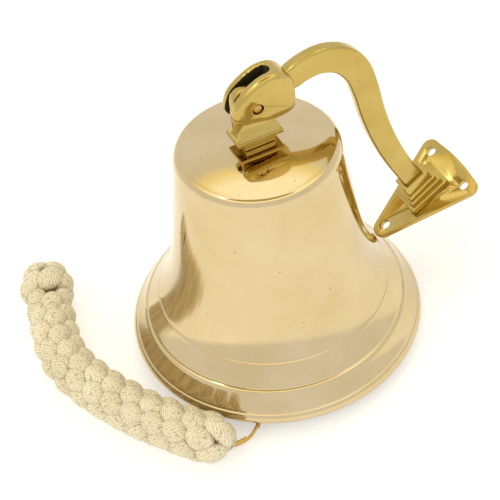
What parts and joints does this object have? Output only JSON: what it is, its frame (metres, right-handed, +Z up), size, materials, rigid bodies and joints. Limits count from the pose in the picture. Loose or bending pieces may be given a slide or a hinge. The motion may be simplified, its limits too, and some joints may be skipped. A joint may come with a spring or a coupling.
{
  "type": "ship bell",
  "caption": "Polished brass bell with a hinged wall bracket, a clapper and a braided cotton lanyard, standing on a table with its bracket folded down.",
  "frame": {"origin": "on the table, under the middle of the box round the bell and its bracket, the lanyard left out", "axes": "+Z up from the table; +X from the bell towards the wall plate, in the plane of the bracket arm; +Y along the hinge pin, away from the side the lanyard comes out on"},
  "size_m": [0.2797, 0.1919, 0.1898],
  "materials": {
    "polished_brass": "mirror-polished pale brass with faint turning lines",
    "bracket_brass": "cast brass, buffed bright with softened edges",
    "pin_brass": "turned brass pin end",
    "plated_steel": "zinc-plated steel",
    "clapper_brass": "turned brass, satin",
    "ring_brass": "polished brass wire",
    "cotton_rope": "natural cotton cord, braided"
  },
  "bodies": {
    "bell": {"bell_shell": "polished_brass", "yoke_seat": "bracket_brass", "crown_yoke": "bracket_brass", "hinge_pin": "pin_brass", "crown_washer": "plated_steel", "crown_nut": "plated_steel", "eye_bolt": "plated_steel", "split_ring": "ring_brass", "lanyard_eye": "cotton_rope", "lanyard_rope": "cotton_rope", "lanyard_knot": "cotton_rope"},
    "bracket": {"fork_head": "bracket_brass", "bracket_arm": "bracket_brass", "arm_collar": "bracket_brass", "wall_plate": "bracket_brass", "arm_screw": "plated_steel"},
    "clapper": {"clapper_rod": "clapper_brass", "clapper_ball": "clapper_brass", "ball_collar": "clapper_brass", "tail_hook": "plated_steel"}
  },
  "joints": [
    {"name": "bracket_hinge", "type": "hinge", "parent": "bell", "child": "bracket", "pos_m": [-0.01619, 0.00588, 0.17266], "axis": [0.0007, -0.9994, 0.0355], "range_deg": [0, 75]},
    {"name": "clapper_swing", "type": "hinge", "parent": "bell", "child": "clapper", "pos_m": [-0.01838, 0.00392, 0.11744], "axis": [0.6691, -0.7431, 0], "range_deg": [0, 60]}
  ]
}
